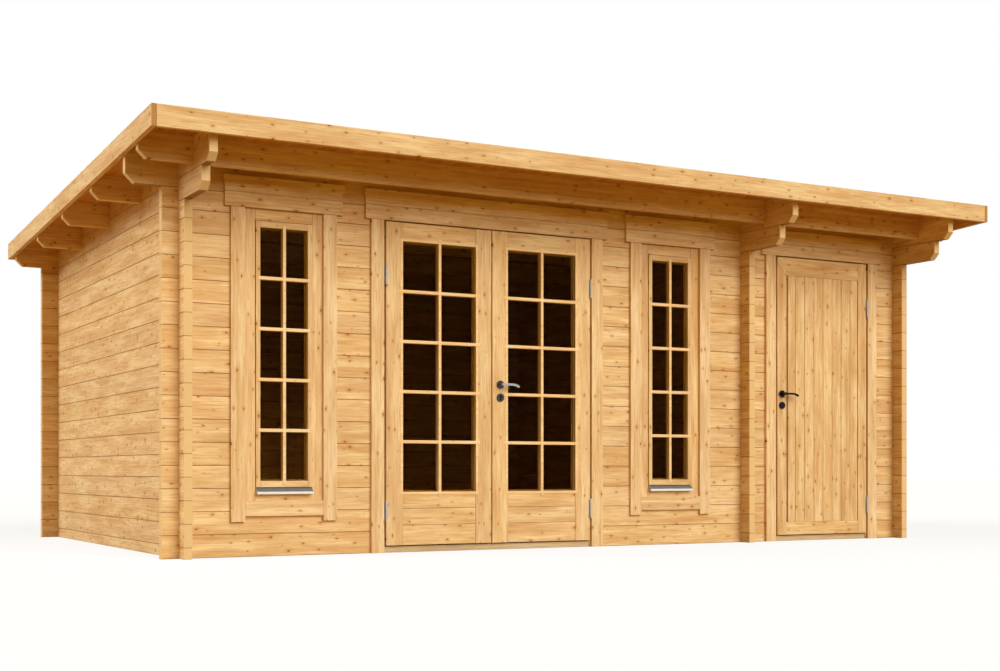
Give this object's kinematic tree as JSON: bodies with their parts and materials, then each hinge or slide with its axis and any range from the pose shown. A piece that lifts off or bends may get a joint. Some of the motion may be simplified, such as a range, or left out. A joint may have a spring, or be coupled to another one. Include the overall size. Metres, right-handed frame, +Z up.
{
  "type": "log cabin garden shed",
  "caption": "Log cabin garden shed with a low mono-pitch roof, a glazed main room behind a double door and a boarded store room beside it.",
  "frame": {"origin": "on the ground under the middle of the roof's plan", "axes": "+X along the front from the main room to the store room, +Y from the front to the back wall, +Z up"},
  "size_m": [6.094, 3.967, 2.4151],
  "materials": {
    "pine_logs": "planed, oiled honey pine with grain and knots",
    "pine_casing": "planed, oiled honey pine",
    "pine_roof": "planed, oiled honey pine",
    "pine_floor": "planed, untreated pine",
    "pine_joinery": "planed, oiled honey pine",
    "impregnated_pine": "sawn, pressure-treated",
    "grey_hardwood": "weathered hardwood",
    "glass": "clear float glass",
    "zinc": "zinc-plated steel",
    "mill_aluminium": "mill-finish sheet",
    "satin_nickel": "satin nickel",
    "black_metal": "satin black",
    "roofing_felt": "bitumen felt"
  },
  "bodies": {
    "cabin": {"front_wall_left_base": "pine_logs", "front_wall_left_corner": "pine_logs", "front_wall_left_pier": "pine_logs", "front_wall_right_base": "pine_logs", "front_wall_right_pier": "pine_logs", "front_wall_store_pier": "pine_logs", "front_wall_end_pier": "pine_logs", "front_wall_head_log": "pine_logs", "front_wall_beam": "pine_logs", "left_wall": "pine_logs", "partition_wall": "pine_logs", "right_wall": "pine_logs", "back_wall": "pine_logs", "purlins": "pine_roof", "roof_boards": "pine_roof", "roof_felt": "roofing_felt", "roof_fascias": "pine_roof", "floor_joists": "impregnated_pine", "main_floor": "pine_floor", "store_floor": "pine_floor", "left_window_frame": "pine_joinery", "left_window_sash": "pine_joinery", "left_window_glass": "glass", "left_window_casing": "pine_casing", "right_window_frame": "pine_joinery", "right_window_sash": "pine_joinery", "right_window_glass": "glass", "right_window_casing": "pine_casing", "window_sills": "mill_aluminium", "double_door_frame": "pine_joinery", "double_door_casing": "pine_casing", "store_door_frame": "pine_joinery", "store_door_casing": "pine_casing", "thresholds": "grey_hardwood", "hinge_pins": "zinc"},
    "left_leaf": {"left_door_leaf": "pine_joinery", "left_door_boards": "pine_joinery", "left_door_glass": "glass", "left_door_hinges": "zinc"},
    "right_leaf": {"right_door_leaf": "pine_joinery", "right_door_boards": "pine_joinery", "right_door_glass": "glass", "right_door_hinges": "zinc", "right_door_roses": "satin_nickel"},
    "right_handle": {"right_door_lever": "satin_nickel"},
    "store_leaf": {"store_door_leaf": "pine_joinery", "store_door_panel": "pine_joinery", "store_door_hinges": "zinc", "store_door_roses": "black_metal"},
    "store_handle": {"store_door_lever": "black_metal"}
  },
  "joints": [
    {"name": "left_door", "type": "hinge", "parent": "cabin", "child": "left_leaf", "pos_m": [-1.4305, -1.374, 1], "axis": [0, 0, -1], "range_deg": [0, 165]},
    {"name": "right_door", "type": "hinge", "parent": "cabin", "child": "right_leaf", "pos_m": [0.0455, -1.374, 1], "axis": [0, 0, 1], "range_deg": [0, 165]},
    {"name": "right_lever", "type": "hinge", "parent": "right_leaf", "child": "right_handle", "pos_m": [-0.6325, -1.3665, 1.05], "axis": [0, 1, 0], "range_deg": [0, 45], "stiffness_Nm_per_rad": 0.8, "springref_deg": -28.65},
    {"name": "store_door", "type": "hinge", "parent": "cabin", "child": "store_leaf", "pos_m": [2.465, -1.374, 1], "axis": [0, 0, 1], "range_deg": [0, 150]},
    {"name": "store_lever", "type": "hinge", "parent": "store_leaf", "child": "store_handle", "pos_m": [1.664, -1.3665, 1.05], "axis": [0, 1, 0], "range_deg": [0, 45], "stiffness_Nm_per_rad": 0.8, "springref_deg": -28.65}
  ]
}
